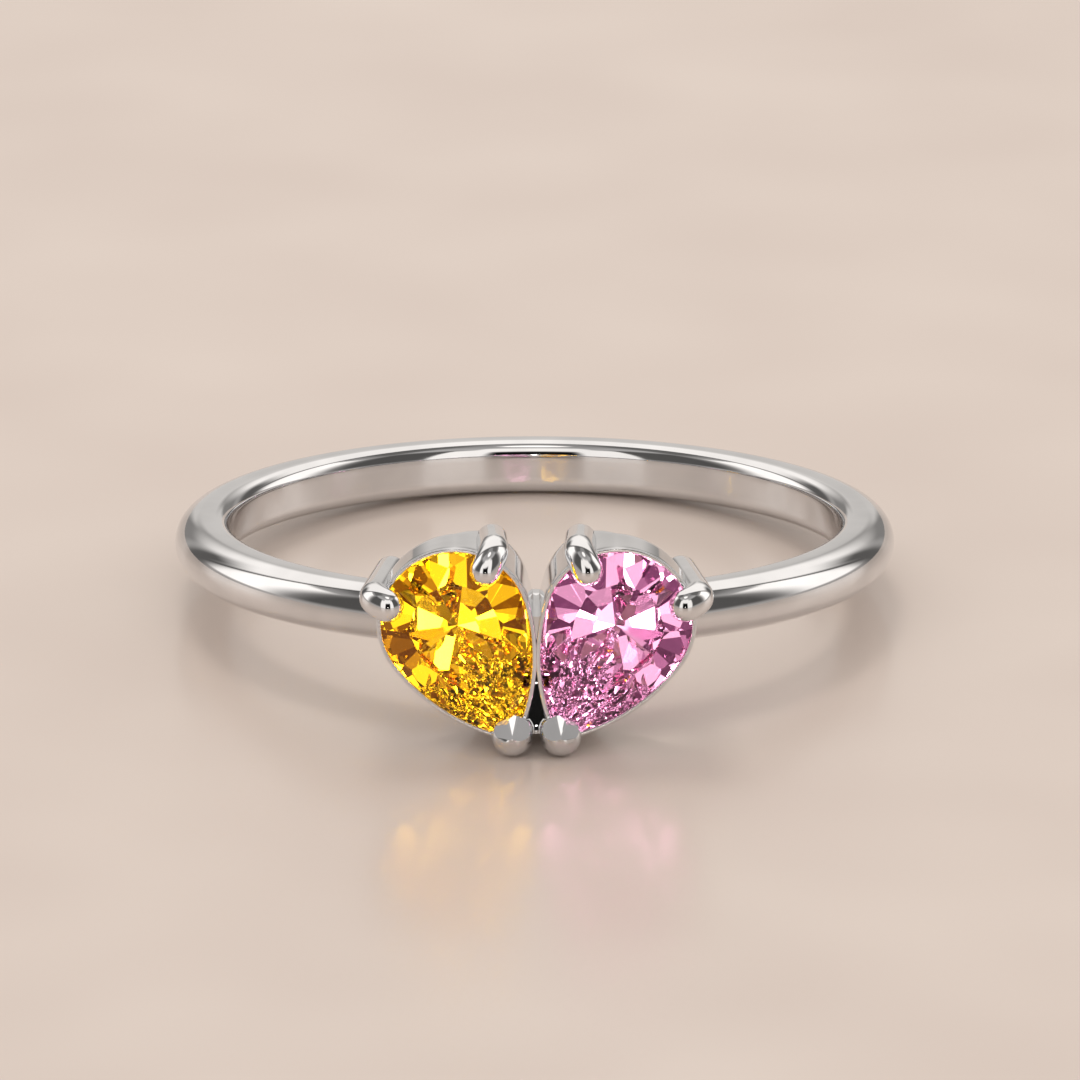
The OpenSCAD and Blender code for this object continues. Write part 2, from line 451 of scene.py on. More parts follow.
@dataclass(frozen=True)
class Grain:
    """Fine noise pattern of a finish, which runs between the noise values `low` and `high`."""

    size_mm: float
    detail: float
    low: float
    high: float

    def noise(self, tree: NodeTree) -> NodeSocket:
        """Adds the noise, by the place on the piece."""
        place = add_node(tree, "ShaderNodeTexCoord").outputs["Object"]
        settings = {"Scale": 1 / (self.size_mm * MM), "Detail": self.detail}
        return add_node(tree, "ShaderNodeTexNoise", settings, {"Vector": place}).outputs["Fac"]

    def colour(self, tree: NodeTree, first: str, second: str) -> NodeSocket:
        """Runs the pattern from one sRGB hex colour to another."""
        ramp = add_node(tree, "ShaderNodeValToRGB", None, {"Fac": self.noise(tree)})
        fill_ramp(ramp, ((self.low, first, 1.0), (self.high, second, 1.0)))
        return ramp.outputs["Color"]

    def roughness(self, tree: NodeTree, first: float, second: float) -> NodeSocket:
        """Runs the pattern from one roughness to another."""
        settings = {"From Min": self.low, "From Max": self.high, "To Min": first, "To Max": second}
        return add_node(tree, "ShaderNodeMapRange", settings, {"Value": self.noise(tree)}).outputs["Result"]


@dataclass(frozen=True)
class PolishedWhiteMetal:
    """Rhodium plated silver, cast, soldered and polished on a felt wheel.

    To the eye it is a near white mirror: it shows the studio's bright and dark fields sharply, and only a
    trace of polishing haze softens them.
    """

    name: str = "rhodium_plated_silver"
    colour: str = "#E9EAEC"
    haze_colour: str = "#DFE0E2"
    roughness: float = 0.035
    haze: float = 0.03
    polish_lines: Grain = Grain(0.12, 3.0, 0.3, 0.7)
    swell: Grain = Grain(1.6, 2.0, 0.35, 0.65)

    def make(self) -> Material:
        """Builds the material."""
        material, tree = start_finish(self.name)
        links = {
            "Base Color": self.swell.colour(tree, self.haze_colour, self.colour),
            "Roughness": self.polish_lines.roughness(tree, self.roughness, self.roughness + self.haze),
        }
        shader = add_node(tree, "ShaderNodeBsdfPrincipled", {"Metallic": 1.0}, links)
        add_node(tree, "ShaderNodeOutputMaterial", None, {"Surface": shader.outputs["BSDF"]})
        return material


@dataclass(frozen=True)
class CutStone:
    """Coloured cubic zirconia, cut and polished into facets.

    To the eye it is clear and deep: light turns back inside it, so that each facet flashes white, the stone's
    colour or a dark shade of it. Light takes on `tint` as it goes in and out, `mirror_tint` colours what the
    facets mirror, and `body_colour` with `density`, per metre, deepens the colour a little on the way.
    """

    name: str
    tint: str
    mirror_tint: str
    body_colour: str
    density: float = 60.0
    ior: float = 2.16
    polish: float = 0.003
    polish_grain: Grain = Grain(0.25, 2.0, 0.4, 0.7)

    def make(self) -> Material:
        """Builds the material."""
        material, tree = start_finish(self.name)
        settings = {
            "Base Color": srgb_to_linear(self.tint),
            "Specular Tint": srgb_to_linear(self.mirror_tint),
            "Transmission Weight": 1.0,
            "IOR": self.ior,
        }
        rough = self.polish_grain.roughness(tree, 0.0, self.polish)
        shader = add_node(tree, "ShaderNodeBsdfPrincipled", settings, {"Roughness": rough})
        settings = {"Color": srgb_to_linear(self.body_colour), "Density": self.density}
        depth = add_node(tree, "ShaderNodeVolumeAbsorption", settings)
        links = {"Surface": shader.outputs["BSDF"], "Volume": depth.outputs["Volume"]}
        add_node(tree, "ShaderNodeOutputMaterial", None, links)
        return material


YELLOW_STONE = CutStone("yellow_cubic_zirconia", "#FFC31D", "#A08A58", "#FFF6D8")
PINK_STONE = CutStone("pink_cubic_zirconia", "#E7A0C1", "#9A7C90", "#F8E2F1")


@dataclass(frozen=True)
class SatinStudioFloor:
    """Pale acrylic sheet with a satin gloss, which gives soft shadows and a faint, blurred reflection."""

    name: str = "pale_satin_acrylic"
    colour: str = "#DED2C9"
    cloud_colour: str = "#D8CBC2"
    roughness: float = 0.24
    ior: float = 1.49
    gloss: float = 0.22
    clouds: Grain = Grain(9.0, 1.0, 0.3, 0.7)

    def make(self) -> Material:
        """Builds the material."""
        material, tree = start_finish(self.name)
        settings = {"Roughness": self.roughness, "IOR": self.ior, "Specular IOR Level": self.gloss}
        colour = self.clouds.colour(tree, self.cloud_colour, self.colour)
        shader = add_node(tree, "ShaderNodeBsdfPrincipled", settings, {"Base Color": colour})
        add_node(tree, "ShaderNodeOutputMaterial", None, {"Surface": shader.outputs["BSDF"]})
        return material


@dataclass(frozen=True)
class PieceMaker:
    """Turns meshes in the ring's frame into finished pieces that ride on the ring's one body."""

    sizes: RingSizes
    crease: float = math.radians(32)

    def finish(
        self,
        name: str,
        mesh: BMesh,
        place: Matrix,
        material: Material,
        slot: Slot,
        node: str,
        smooth: bool = True,
    ) -> None:
        """Lays a mesh to rest and makes it a piece of the ring.

        Args:
            name: The piece's name.
            mesh: Its mesh, in millimetres, which is used up.
            place: Matrix from the mesh's own frame to the ring's frame.
            material: Its finish.
            slot: The record's slot for that finish. It is not used.
            node: The solid that the piece stands for.
            smooth: True rounds the shading over edges below the crease angle.
        """
        bmesh.ops.transform(mesh, matrix=self.sizes.at_rest() @ place, verts=mesh.verts)
        bmesh.ops.recalc_face_normals(mesh, faces=mesh.faces)
        for face in mesh.faces:
            face.smooth = smooth
        data = mesh_data(name, mesh, material)
        if smooth:
            data.set_sharp_from_angle(angle=self.crease)
        piece = add_object(name, data)
        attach(piece, "root")
        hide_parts(node)
        LOG.info("%s: %d faces", name, len(data.polygons))


@dataclass(frozen=True)
class Band:
    """The plain band: half round outside, flat inside, with rounded inner edges."""

    sizes: RingSizes
    stations: int = 360
    dome_steps: int = 48
    edge_steps: int = 10
    wall_steps: int = 6

    def section(self) -> Points:
        """Closed outline of the band's section, as distance from the finger hole's axis and height."""
        s = self.sizes
        inner, edge, half = s.finger_d / 2, s.band_edge_r, s.dome_r
        points = arc((s.dome_d, 0), half, -90, 90, self.dome_steps)
        points += arc((inner + edge, half - edge), edge, 90, 180, self.edge_steps)
        straight = half - edge
        points += [(inner, straight - 2 * straight * i / self.wall_steps) for i in range(1, self.wall_steps)]
        points += arc((inner + edge, -half + edge), edge, 180, 270, self.edge_steps)
        return points

    def build(self) -> BMesh:
        """Turns the section round the finger hole's axis."""
        section = self.section()
        loops = []
        for i in range(self.stations):
            angle = FULL_TURN * i / self.stations
            loops.append([Vector((r * math.cos(angle), r * math.sin(angle), z)) for r, z in section])
        return loft(loops, around=True)


@dataclass(frozen=True)
class Cup:
    """Open cup of thin wall round one stone, with a seat ledge under the stone's edge."""

    sizes: RingSizes
    stations: int = 300
    rim_edge_r: float = 0.045
    inner_edge_r: float = 0.02
    back_edge_r: float = 0.05
    seat_top: float = -0.1
    seat_drop: float = 0.3
    lip_steps: int = 4
    wall_steps: int = 8
    back_steps: int = 5

    def section(self, depth: float) -> Points:
        """Closed outline of the wall, as distance outside the stone and height over its widest plane.

        Args:
            depth: Depth of the wall at this place.

        Returns:
            The outline's points.
        """
        s = self.sizes
        rim, out, ledge = s.girdle_t / 2, s.metal_out, -s.seat_w
        edge, lip, back = self.rim_edge_r, self.inner_edge_r, self.back_edge_r
        points = arc((s.stone_gap + lip, rim - lip), lip, 180, 90, self.lip_steps)
        points += arc((out - edge, rim - edge), edge, 90, 0, self.wall_steps)
        wall_h = depth + rim - edge - back
        points += [(out, rim - edge - wall_h * i / self.wall_steps) for i in range(1, self.wall_steps)]
        points += arc((out - back, back - depth), back, 0, -90, self.back_steps)
        points += arc((ledge + back, back - depth), back, -90, -180, self.back_steps)
        points += [(ledge, self.seat_top - self.seat_drop), (s.stone_gap, self.seat_top)]
        return points

    def build(self) -> BMesh:
        """Runs the section round the stone's outline, in the stone's frame."""
        s = self.sizes
        to_ring = s.at_stone(Side.LEFT)
        loops = []
        for i in range(self.stations):
            angle = FULL_TURN * i / self.stations
            wall = to_ring @ Vector((*s.outline.place(angle, s.metal_out), 0))
            section = self.section(s.cup_depth_at(wall.x, wall.z))
            loops.append([Vector((*s.outline.place(angle, out), height)) for out, height in section])
        return loft(loops, around=True)


@dataclass(frozen=True)
class FacetTier:
    """Tier of facets ground at even turns round the stone.

    `turn` is the first facet's turn from the point, in steps of the tier. The slope is taken from the table's
    plane, and None runs the facet down to the culet, `steeper` by that angle. `out` is the share of the way
    to the edge where the facet has the tier's height, and `point_slope` the slope of the one at the point.
    """

    count: int
    turn: float
    slope: float | None
    height: float
    out: float = 1.0
    steeper: float = 0.0
    point_slope: float | None = None


@dataclass(frozen=True)
class PearBrilliant:
    """Pear brilliant with its table up and its point towards +Y, ground facet by facet from a block."""

    sizes: RingSizes
    crown_h: float = 0.53
    pavilion_h: float = 1.72
    culet_y: float = 0.2
    upper_half_drop: float = 0.01
    girdle_facets: int = 96
    block: float = 8.0

    def crown(self) -> tuple[FacetTier, ...]:
        """Tiers above the girdle: large facets, upper halves and stars."""
        edge = self.sizes.girdle_t / 2
        return (
            FacetTier(8, 0.0, math.radians(34), edge, point_slope=math.radians(24)),
            FacetTier(16, 0.5, math.radians(41), edge - self.upper_half_drop),
            FacetTier(8, 0.5, math.radians(22), edge + self.crown_h, out=0.62),
        )

    def pavilion(self) -> tuple[FacetTier, ...]:
        """Tiers below the girdle: large facets that meet in the culet, and lower halves."""
        edge = -self.sizes.girdle_t / 2
        return (FacetTier(10, 0.5, None, edge), FacetTier(20, 0.5, None, edge, steeper=math.radians(4)))

    def planes(self) -> list[tuple[Vector, Vector]]:
        """All facets of the stone, as rows of a point and the outward direction."""
        pear, edge = self.sizes.outline, self.sizes.girdle_t / 2
        rows = [(Vector((0, 0, edge + self.crown_h)), Vector((0, 0, 1)))]
        for i in range(self.girdle_facets):
            angle = FULL_TURN * (i + 0.5) / self.girdle_facets
            rows.append((Vector((*pear.place(angle, 0), 0)), pear.facing(angle)))
        culet = Vector((0, self.culet_y, -edge - self.pavilion_h))
        for tiers, side in ((self.crown(), 1), (self.pavilion(), -1)):
            for tier in tiers:
                for i in range(tier.count):
                    angle = FULL_TURN * (i + tier.turn) / tier.count
                    place = Vector((*(tier.out * part for part in pear.place(angle, 0)), tier.height))
                    facing = pear.facing(angle)
                    slope = tier.slope
                    if slope is None:
                        slope = math.atan2(place.z - culet.z, (place - culet).dot(facing)) + tier.steeper
                    elif i == 0 and tier.point_slope is not None:
                        slope = tier.point_slope
                    rows.append((place, math.sin(slope) * facing + Vector((0, 0, side * math.cos(slope)))))
        return rows

    def build(self) -> BMesh:
        """Grinds the stone from its block, in the stone's frame."""
        mesh = bmesh.new()
        bmesh.ops.create_cube(mesh, size=self.block)
        for place, facing in self.planes():
            grind(mesh, place, facing)
        bmesh.ops.recalc_face_normals(mesh, faces=mesh.faces)
        return mesh


@dataclass(frozen=True)
class Claw:
    """Claw of round wire that leans over the stone and bends over its edge, with both ends rounded.

    `angle` is its turn round the stone from the round end, `back` its reach behind the stone's widest plane,
    `out` its distance outside the stone's edge and `bend_start` the height where its bend starts.
    """

    sizes: RingSizes
    angle: float
    back: float
    lean: float
    out: float
    bend_r: float
    bend_start: float
    wire_r: float
    bend: float = math.radians(72)
    wire_steps: int = 12
    bend_steps: int = 20

    def path(self) -> list[Vector]:
        """Middle line of the wire in the claw's own frame, from its foot to its tip."""
        straight, steps = self.back + self.bend_start, self.wire_steps
        foot = [Vector((0, 0, -self.back + straight * i / steps)) for i in range(steps + 1)]
        centre = Vector((0, self.bend_r, self.bend_start))
        bend = self.bend + self.lean
        turns = [bend * i / self.bend_steps for i in range(1, self.bend_steps + 1)]
        return foot + [centre + self.bend_r * Vector((0, -math.cos(a), math.sin(a))) for a in turns]

    def place(self) -> Matrix:
        """Matrix from the claw's own frame to the stone's."""
        out = self.sizes.outline.round_r + self.out
        lean = Matrix.Rotation(self.lean, 4, "X")
        return Matrix.Rotation(-self.angle, 4, "Z") @ Matrix.Translation((0, -out, 0)) @ lean

    def build(self) -> BMesh:
        """Builds the bent wire in the stone's frame."""
        mesh = tube(self.path(), self.wire_r, (True, True))
        bmesh.ops.transform(mesh, matrix=self.place(), verts=mesh.verts)
        return mesh


@dataclass(frozen=True)
class OuterClawFoot:
    """End of an outer claw's wire, turned down onto the band."""

    sizes: RingSizes
    claw: Claw
    wire_r: float = 0.34
    steps: int = 6
    sides: int = 40

    def build(self) -> BMesh:
        """Builds the foot in the ring's frame, on the left half."""
        s, claw = self.sizes, self.claw
        r = s.outline.round_r + claw.out - claw.back * math.sin(claw.lean)
        turn = math.pi / 2 + s.stone_lean - claw.angle
        x, y = -s.stone_x + r * math.cos(turn), -s.girdle_d + claw.back * math.cos(claw.lean)
        top = s.stone_z + r * math.sin(turn)
        path = [Vector((0, 0, top * i / self.steps)) for i in range(self.steps + 1)]
        mesh = tube(path, self.wire_r, (False, True), self.sides)
        bmesh.ops.translate(mesh, vec=Vector((x, y, 0)), verts=mesh.verts)
        return mesh


@dataclass(frozen=True)
class PointBead:
    """Bead over a stone's point, with bright flats cut across its upper face, and its leaning stem.

    Each row of `flats` holds a flat's turn round the stone's axis and its lean, in degrees, and its distance
    from the bead's centre.
    """

    sizes: RingSizes
    flats: tuple[tuple[float, float, float], ...] = (
        (-2, 46, 0.42),
        (-52, 46, 0.42),
        (-27, 47, 0.425),
        (38, 28, 0.535),
    )
    rings: int = 48
    stem_steps: int = 12

    def build(self) -> BMesh:
        """Builds the bead in the stone's frame."""
        s = self.sizes
        mesh = bmesh.new()
        bmesh.ops.create_uvsphere(mesh, u_segments=2 * self.rings, v_segments=self.rings, radius=s.bead_r)
        for fan, lean, distance in self.flats:
            turn = Matrix.Rotation(math.radians(fan), 3, "Z") @ Matrix.Rotation(math.radians(lean), 3, "X")
            normal = turn @ Vector((0, 0, 1))
            grind(mesh, normal * distance, normal)
        bmesh.ops.translate(mesh, vec=self.centre(), verts=mesh.verts)
        return mesh

    def centre(self) -> Vector:
        """The bead's centre in the stone's frame."""
        s = self.sizes
        return Vector((0, s.outline.point_d - s.bead_in, s.bead_lift))

    def build_stem(self) -> BMesh:
        """Builds the stem in the stone's frame."""
        s = self.sizes
        length = (s.cup_depth + s.bead_lift) / math.cos(s.bead_lean)
        path = [Vector((0, 0, -length * (1 - i / self.stem_steps))) for i in range(self.stem_steps + 1)]
        mesh = tube(path, s.bead_stem_r, (False, False))
        lean = Matrix.Translation(self.centre()) @ Matrix.Rotation(-s.bead_lean, 4, "X")
        bmesh.ops.transform(mesh, matrix=lean, verts=mesh.verts)
        return mesh


@dataclass(frozen=True)
class Bridge:
    """Bridge between the cups, with a round trough on top and a web that steps back where the cups part.

    Each row of `profile` holds a height and how far the front stands behind the stones' widest plane there.
    """

    sizes: RingSizes
    half_w: float = 0.4
    trough_r: float = 0.2
    trough_over_stone: float = 0.14
    round_front: float = 0.25
    profile: tuple[tuple[float, float], ...] = (
        (-2.6, 0.33),
        (-2.4, 0.345),
        (-2.2, 0.385),
        (-1.9, 0.46),
        (-1.25, 0.62),
        (-0.8, 0.66),
        (-0.5, 0.3),
        (-0.3, 0.2),
        (1.2, 0.08),
        (2.0, 0.08),
    )
    columns: int = 16
    rows: int = 40

    def build(self) -> BMesh:
        """Builds the bridge in the ring's frame, from its front face back to the cups' back edges."""
        s = self.sizes
        low = self.profile[0][0]
        front, back = -s.girdle_d, -s.girdle_d + s.cup_depth
        trough_z = s.stone_z + self.trough_over_stone
        heights = [low + (trough_z - low) * i / self.rows for i in range(self.rows + 1)]
        loops = []
        for k in range(self.columns + 1):
            x = self.half_w * math.cos(math.pi * k / self.columns)
            top = trough_z + self.trough_r - math.sqrt(max(0.0, self.trough_r**2 - x**2))
            loop = []
            for z in heights:
                lifted = low + (z - low) * (top - low) / (trough_z - low)
                y = front + between(self.profile, lifted) + self.round_front * x**2
                loop.append(Vector((x, y, lifted)))
            loops.append(loop + [Vector((x, back, top)), Vector((x, back, low))])
        return loft(loops)


@dataclass(frozen=True)
class Head:
    """The ring's head: two cups with their claws and beads, and the bridge between them."""

    sizes: RingSizes
    maker: PieceMaker
    metal: Material

    def inner_claw(self) -> Claw:
        """Claw towards the head's middle, whose short wire ends on the cup's side."""
        return Claw(
            self.sizes,
            angle=math.radians(55),
            back=1.75,
            lean=math.radians(4),
            out=0.34,
            bend_r=0.72,
            bend_start=-0.2,
            wire_r=0.42,
        )

    def outer_claw(self) -> Claw:
        """Claw towards the head's end, whose wire runs back to the band."""
        return Claw(
            self.sizes,
            angle=math.radians(-44),
            back=3.43,
            lean=math.radians(7),
            out=0.3,
            bend_r=0.54,
            bend_start=-0.03,
            wire_r=0.44,
        )

    def half(self, side: Side) -> None:
        """Builds the cup, the claws and the bead of one half of the head."""
        s = self.sizes
        word = side.name.lower()
        at_stone = s.at_stone(side)
        outer = self.outer_claw()
        bead = PointBead(s)
        rows = (
            (f"{word}_cup", Cup(s).build(), at_stone),
            (f"{word}_inner_claw", self.inner_claw().build(), at_stone),
            (f"{word}_outer_claw", outer.build(), at_stone),
            (f"{word}_outer_claw_foot", OuterClawFoot(s, outer).build(), side.flip),
            (f"{word}_point_bead", bead.build(), at_stone),
            (f"{word}_bead_stem", bead.build_stem(), at_stone),
        )
        for name, mesh, place in rows:
            self.maker.finish(name, mesh, place, self.metal, Slot.METAL, MOUNT)

    def build(self) -> None:
        """Builds both halves and the bridge."""
        for side in Side:
            self.half(side)
        bridge = Bridge(self.sizes).build()
        self.maker.finish("bridge", bridge, Matrix.Identity(4), self.metal, Slot.METAL, MOUNT)


@dataclass(frozen=True)
class Panel:
    """Soft edged panel of the studio, the same on both sides of straight ahead, with all angles in degrees.

    It lies between the turns `near` and `far` from straight ahead and the elevations `low` and `high`. Its
    sides and ends fade by `side_soft` and `end_soft` to both sides of these edges.
    """

    name: str
    light: float
    near: float
    far: float
    low: float
    high: float
    side_soft: float
    end_soft: float


@dataclass(frozen=True)
class Disc:
    """Soft edged round field of the studio, by its middle's direction and its radius, in degrees."""

    name: str
    light: float
    azimuth: float
    elevation: float
    radius: float
    soft: float


@dataclass(frozen=True)
class Sky:
    """One set of fields: light by elevation, and the panels and discs laid over it in order."""

    ground: tuple[tuple[float, str, float], ...]
    fields: tuple[Panel | Disc, ...]
    field_colour: str = "#FFF9F3"


METAL_SKY = Sky(
    ground=(
        (-90, "#CFC3BA", 0.6),
        (0, "#E6DDD6", 0.6),
        (8, "#D8D2CD", 0.5),
        (40, "#D8D2CD", 0.45),
        (60, "#EDE8E4", 0.6),
        (75, "#EDE8E4", 0.42),
        (90, "#F4F0EC", 0.35),
    ),
    fields=(
        Panel("front_shade", 0.1, 40, 84, 8, 56, 8, 5),
        Panel("front_fill", 1.15, 19, 42, 2, 52, 2, 5),
        Panel("front_top", 1.15, 0, 30, 37, 62, 4, 5),
        Panel("side_softbox", 1.35, 94, 128, 5, 47, 9, 2),
        Panel("dark_top", 0.16, 84, 140, 53, 78, 8, 5),
        Disc("dark_frame", 0.05, 180, 30, 48, 2),
        Disc("back_softbox", 1.15, 180, 30, 44, 3),
        Panel("back_gap", 0.12, 130, 150, -6, 28, 7, 9),
        Panel("back_horizon", 0.25, 148, 180, -10, 17, 8, 10),
        Panel("back_glow", 0.66, 169, 190, -7, 9, 3, 3),
        Panel("camera_black", 0.008, 0, 17, -1, 34, 2, 3),
        Disc("ring_lamp", 7.0, 0, 9, 1.5, 0.5),
        Disc("top_lamp", 1.4, 0, 80, 8, 2),
    ),
)
SOFT_LIGHT = ("#FFF8F3", 0.86)  # the studio's even light for all that isn't a mirror image or inside a stone


@dataclass(frozen=True)
class TileWall:
    """Light of many small even tiles round the ring, sized in degrees, from which each facet picks one.

    Each row of `levels` holds the share of tiles up to which it counts, their light and their colour. Dark
    tiles are plum coloured card, because a real stone's dark facets have a deeper colour than its bright
    ones. `seed`, `column_mix`, `row_mix` and `scatter` deal the levels out over the tiles as if by chance.
    """

    across: float = 6.0
    up: float = 6.0
    seed: float = 12.0
    column_mix: float = 12.9898
    row_mix: float = 78.233
    scatter: float = 43.7585
    levels: tuple[tuple[float, float, str], ...] = (
        (0.13, 0.14, "#FFAAF2"),
        (0.27, 0.3, "#FFC4F5"),
        (0.42, 0.66, "#FFDAF8"),
        (0.57, 1.08, "#FFF7FF"),
        (0.75, 1.7, "#FFFFFF"),
        (0.88, 2.6, "#FFFFFF"),
        (1.0, 22.0, "#FFFFFF"),
    )


@dataclass(frozen=True)
class SkyPainter:
    """Paints the studio's fields by direction in the world's node tree."""

    tree: NodeTree
    way: NodeSocket

    def value(self, operation: str, *inputs: NodeSocket | float) -> NodeSocket:
        """Works out one number.

        Args:
            operation: The Math node's operation.
            inputs: Its inputs, as sockets or numbers.

        Returns:
            The result's socket.
        """
        sockets = {i: v for i, v in enumerate(inputs) if isinstance(v, NodeSocket)}
        numbers = {i: v for i, v in enumerate(inputs) if i not in sockets}
        return add_node(self.tree, "ShaderNodeMath", {"operation": operation, **numbers}, sockets).outputs[0]

    def degrees(self, operation: str, *inputs: NodeSocket | float) -> NodeSocket:
        """Works out an angle and turns it into degrees."""
        return self.value("DEGREES", self.value(operation, *inputs))

    def step(self, angle: NodeSocket, out: float, inside: float) -> NodeSocket:
        """Soft step from 0 where the angle is at `out` to 1 where it is at `inside`."""
        settings = {"interpolation_type": "SMOOTHSTEP", "From Min": out, "From Max": inside}
        return add_node(self.tree, "ShaderNodeMapRange", settings, {"Value": angle}).outputs["Result"]

    def angles(self) -> tuple[NodeSocket, NodeSocket]:
        """Sockets with a direction's turn to either side of straight ahead and its elevation, in degrees."""
        parts = add_node(self.tree, "ShaderNodeSeparateXYZ", None, {"Vector": self.way}).outputs
        ahead = self.value("MULTIPLY", parts["Y"], -1.0)
        turn = self.degrees("ARCTAN2", self.value("ABSOLUTE", parts["X"]), ahead)
        return turn, self.degrees("ARCSINE", parts["Z"])

    def disc_mask(self, disc: Disc) -> NodeSocket:
        """Socket with 1 inside a disc and 0 outside it."""
        turn, rise = math.radians(disc.azimuth), math.radians(disc.elevation)
        middle = (math.sin(turn) * math.cos(rise), -math.cos(turn) * math.cos(rise), math.sin(rise))
        settings = {"operation": "DOT_PRODUCT", 1: middle}
        dot = add_node(self.tree, "ShaderNodeVectorMath", settings, {0: self.way}).outputs["Value"]
        return self.step(self.degrees("ARCCOSINE", dot), disc.radius + disc.soft, disc.radius - disc.soft)

    def panel_mask(self, panel: Panel, turn: NodeSocket, rise: NodeSocket) -> NodeSocket:
        """Share of a panel in a direction.

        Args:
            panel: The panel. One that starts straight ahead has no near edge.
            turn: The direction's turn from straight ahead, in degrees.
            rise: Its elevation in degrees.

        Returns:
            The socket with 1 inside the panel and 0 outside it.
        """
        side, end = panel.side_soft, panel.end_soft
        across = self.step(turn, panel.far + side, panel.far - side)
        if panel.near > 0:
            across = self.value("MULTIPLY", self.step(turn, panel.near - side, panel.near + side), across)
        low = self.step(rise, panel.low - end, panel.low + end)
        high = self.step(rise, panel.high + end, panel.high - end)
        return self.value("MULTIPLY", across, self.value("MULTIPLY", low, high))

    def paint(self, sky: Sky) -> NodeSocket:
        """Lays a sky's fields over its light by elevation.

        Args:
            sky: The sky.

        Returns:
            The socket with the sky's colour.
        """
        turn, rise = self.angles()
        settings = {"From Min": -ZENITH, "From Max": ZENITH}
        place = add_node(self.tree, "ShaderNodeMapRange", settings, {"Value": rise}).outputs["Result"]
        ground = add_node(self.tree, "ShaderNodeValToRGB", None, {"Fac": place})
        fill_ramp(ground, [((up + ZENITH) / (2 * ZENITH), code, light) for up, code, light in sky.ground])
        colour = ground.outputs["Color"]
        for field in sky.fields:
            share = self.disc_mask(field) if isinstance(field, Disc) else self.panel_mask(field, turn, rise)
            colour = self.mix(colour, lit(sky.field_colour, field.light), share)
            colour.node.label = field.name
        return colour

    def lay_tiles(self, wall: TileWall) -> NodeSocket:
        """Lays even tiles of light, the same on both sides of straight ahead.

        Args:
            wall: The tiles' size, order and light.

        Returns:
            The socket with the tiles' colour.
        """
        turn, rise = self.angles()
        column = self.value("FLOOR", self.value("DIVIDE", turn, wall.across))
        row = self.value("FLOOR", self.value("DIVIDE", self.value("ADD", rise, ZENITH), wall.up))
        mixed = self.value("MULTIPLY_ADD", row, wall.row_mix, wall.seed)
        mixed = self.value("MULTIPLY_ADD", column, wall.column_mix, mixed)
        wave = self.value("MULTIPLY", self.value("SINE", mixed), wall.scatter)
        chance = self.value("FRACT", self.value("ABSOLUTE", wave))
        ramp = add_node(self.tree, "ShaderNodeValToRGB", None, {"Fac": chance})
        ramp.color_ramp.interpolation = "CONSTANT"
        starts = (0.0, *(top for top, _, _ in wall.levels))
        fill_ramp(ramp, [(start, code, light) for start, (_, light, code) in zip(starts, wall.levels)])
        return ramp.outputs["Color"]

    def mix(self, first: NodeSocket, second: NodeSocket | tuple[float, ...], share: NodeSocket) -> NodeSocket:
        """Mixes two colours, of which the second may be a fixed one."""
        fixed = isinstance(second, tuple)
        settings = {"Color2": second} if fixed else {}
        links = {"Fac": share, "Color1": first} | ({} if fixed else {"Color2": second})
        return add_node(self.tree, "ShaderNodeMixRGB", settings, links).outputs["Color"]


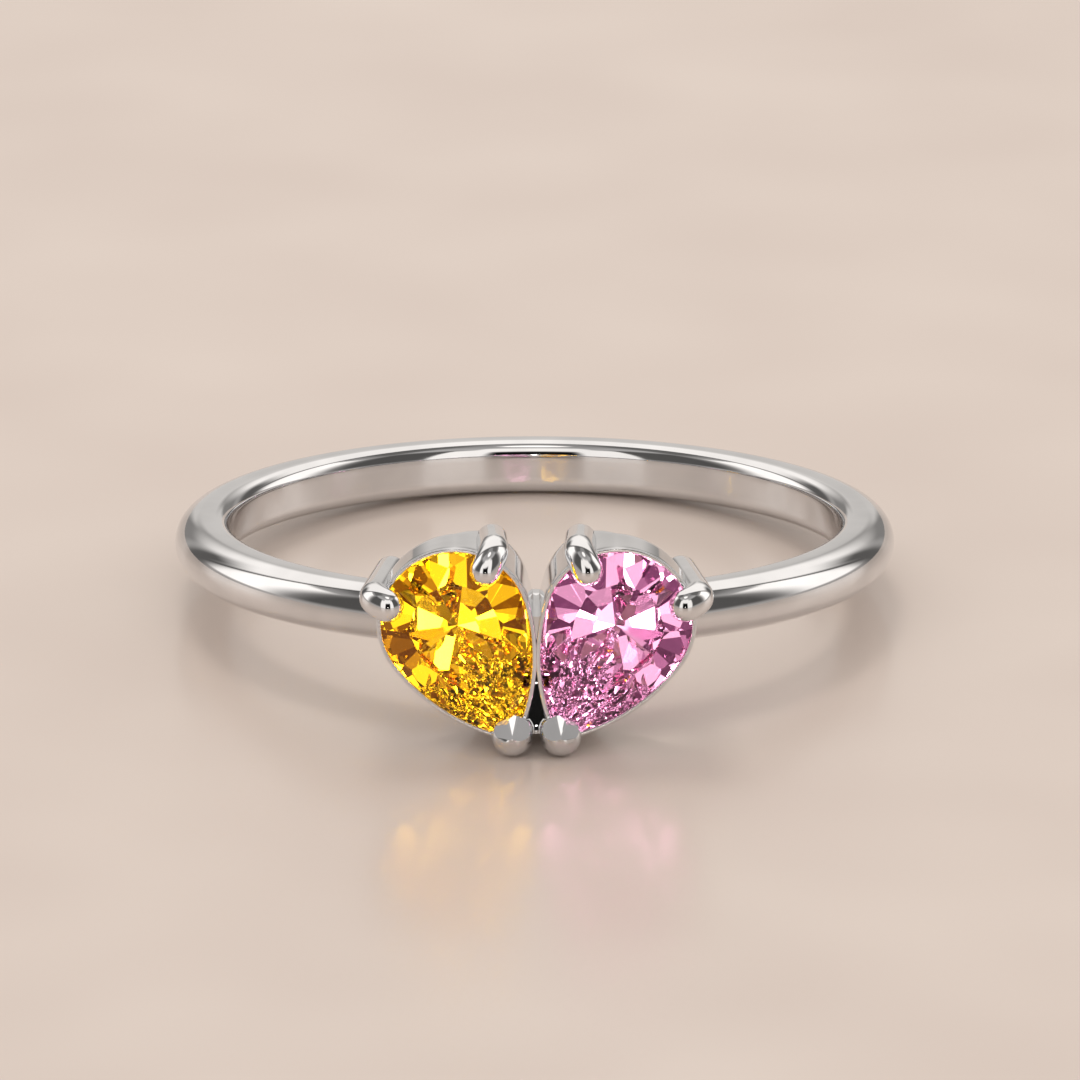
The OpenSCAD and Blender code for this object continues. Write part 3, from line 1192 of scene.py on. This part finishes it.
@dataclass(frozen=True)
class Studio:
    """Camera, floor, sky and lamp, in metres. The camera looks down on the ring through a long lens.

    The frame's width `picture`, the focal length `focal_px` and the ring's place `ring_px` are in pixels.
    """

    sizes: RingSizes
    distance: float = 0.3
    elevation: float = math.radians(19.643)
    azimuth: float = math.radians(0.23)
    picture: float = 1080.0
    focal_px: float = 10569.0
    ring_px: tuple[float, float] = (534.7, 538.8)
    clip: tuple[float, float] = (0.01, 10.0)
    floor_half: float = 1.0
    floor_cells: int = 4
    lamp_place: tuple[float, float, float] = (-0.06, 0.22, 0.5)
    lamp_side: float = 0.16
    lamp_watts: float = 0.45
    lamp_colour: str = "#FFF8F0"
    stone_bounces: int = 32
    metal_bounces: int = 16
    brightest_bounce: float = 20.0

    def camera(self) -> None:
        """Places the camera so that the ring stands where the photo shows it."""
        data = bpy.data.cameras.new("camera")
        data.lens = data.sensor_width * self.focal_px / self.picture
        data.clip_start, data.clip_end = self.clip
        data.shift_x = (self.picture / 2 - self.ring_px[0]) / self.picture
        data.shift_y = (self.ring_px[1] - self.picture / 2) / self.picture
        centre = self.sizes.at_rest() @ Vector((0, 0, 0))
        level = math.cos(self.elevation)
        across, ahead = -math.sin(self.azimuth) * level, -math.cos(self.azimuth) * level
        away = Vector((across, ahead, math.sin(self.elevation)))
        camera = add_object("camera", data)
        camera.location = centre + away * self.distance
        camera.rotation_euler = (-away).to_track_quat("-Z", "Y").to_euler()
        bpy.context.scene.camera = camera

    def floor(self) -> None:
        """Lays the floor that the ring rests on."""
        mesh = bmesh.new()
        cells = self.floor_cells
        bmesh.ops.create_grid(mesh, x_segments=cells, y_segments=cells, size=self.floor_half)
        floor = add_object("floor", mesh_data("floor", mesh, SatinStudioFloor().make()))
        floor.visible_transmission = False

    def sky(self) -> None:
        """Surrounds the ring with light: even for the floor, and in fields for the metal and the stones."""
        world = bpy.data.worlds.new("studio")
        bpy.context.scene.world = world
        world.use_nodes = True
        tree = world.node_tree
        tree.nodes.clear()
        painter = SkyPainter(tree, add_node(tree, "ShaderNodeTexCoord").outputs["Generated"])
        path = add_node(tree, "ShaderNodeLightPath").outputs
        even = add_node(tree, "ShaderNodeRGB")
        even.outputs[0].default_value = lit(*SOFT_LIGHT)
        colour = painter.mix(even.outputs[0], painter.paint(METAL_SKY), path["Is Glossy Ray"])
        colour = painter.mix(colour, painter.lay_tiles(TileWall()), path["Is Transmission Ray"])
        light = add_node(tree, "ShaderNodeBackground", {"Strength": 1.0}, {"Color": colour})
        add_node(tree, "ShaderNodeOutputWorld", None, {"Surface": light.outputs["Background"]})

    def lamp(self) -> None:
        """Hangs the one square soft lamp, which looks at the ring and isn't mirrored in it."""
        data = bpy.data.lights.new("key_lamp", "AREA")
        data.shape, data.size, data.energy = "SQUARE", self.lamp_side, self.lamp_watts
        data.color = srgb_to_linear(self.lamp_colour)[:3]
        lamp = add_object("key_lamp", data)
        lamp.location = self.lamp_place
        lamp.rotation_euler = (-Vector(self.lamp_place)).to_track_quat("-Z", "Y").to_euler()
        lamp.visible_glossy = False
        lamp.visible_transmission = False

    def build(self) -> None:
        """Builds the whole studio."""
        self.camera()
        self.floor()
        self.sky()
        self.lamp()
        scene = bpy.context.scene
        scene.view_settings.view_transform = "Standard"
        scene.cycles.max_bounces = self.stone_bounces
        scene.cycles.transmission_bounces = self.stone_bounces
        scene.cycles.glossy_bounces = self.metal_bounces
        scene.cycles.use_denoising = True
        scene.cycles.sample_clamp_indirect = self.brightest_bounce


def main() -> None:
    """Builds the studio, the metal and the stones, in that order."""
    logging.basicConfig(level=logging.INFO, format="%(message)s")
    sizes = RingSizes()
    Studio(sizes).build()
    maker = PieceMaker(sizes)
    metal = PolishedWhiteMetal().make()
    maker.finish("band", Band(sizes).build(), Matrix.Identity(4), metal, Slot.METAL, MOUNT)
    Head(sizes, maker, metal).build()
    stones = (
        ("yellow_pear", "yellow_stone", Side.LEFT, Slot.YELLOW, YELLOW_STONE),
        ("pink_pear", "pink_stone", Side.RIGHT, Slot.PINK, PINK_STONE),
    )
    for name, node, side, slot, finish in stones:
        cut = PearBrilliant(sizes).build()
        maker.finish(name, cut, sizes.at_stone(side), finish.make(), slot, node, smooth=False)


if __name__ == "__main__":
    main()
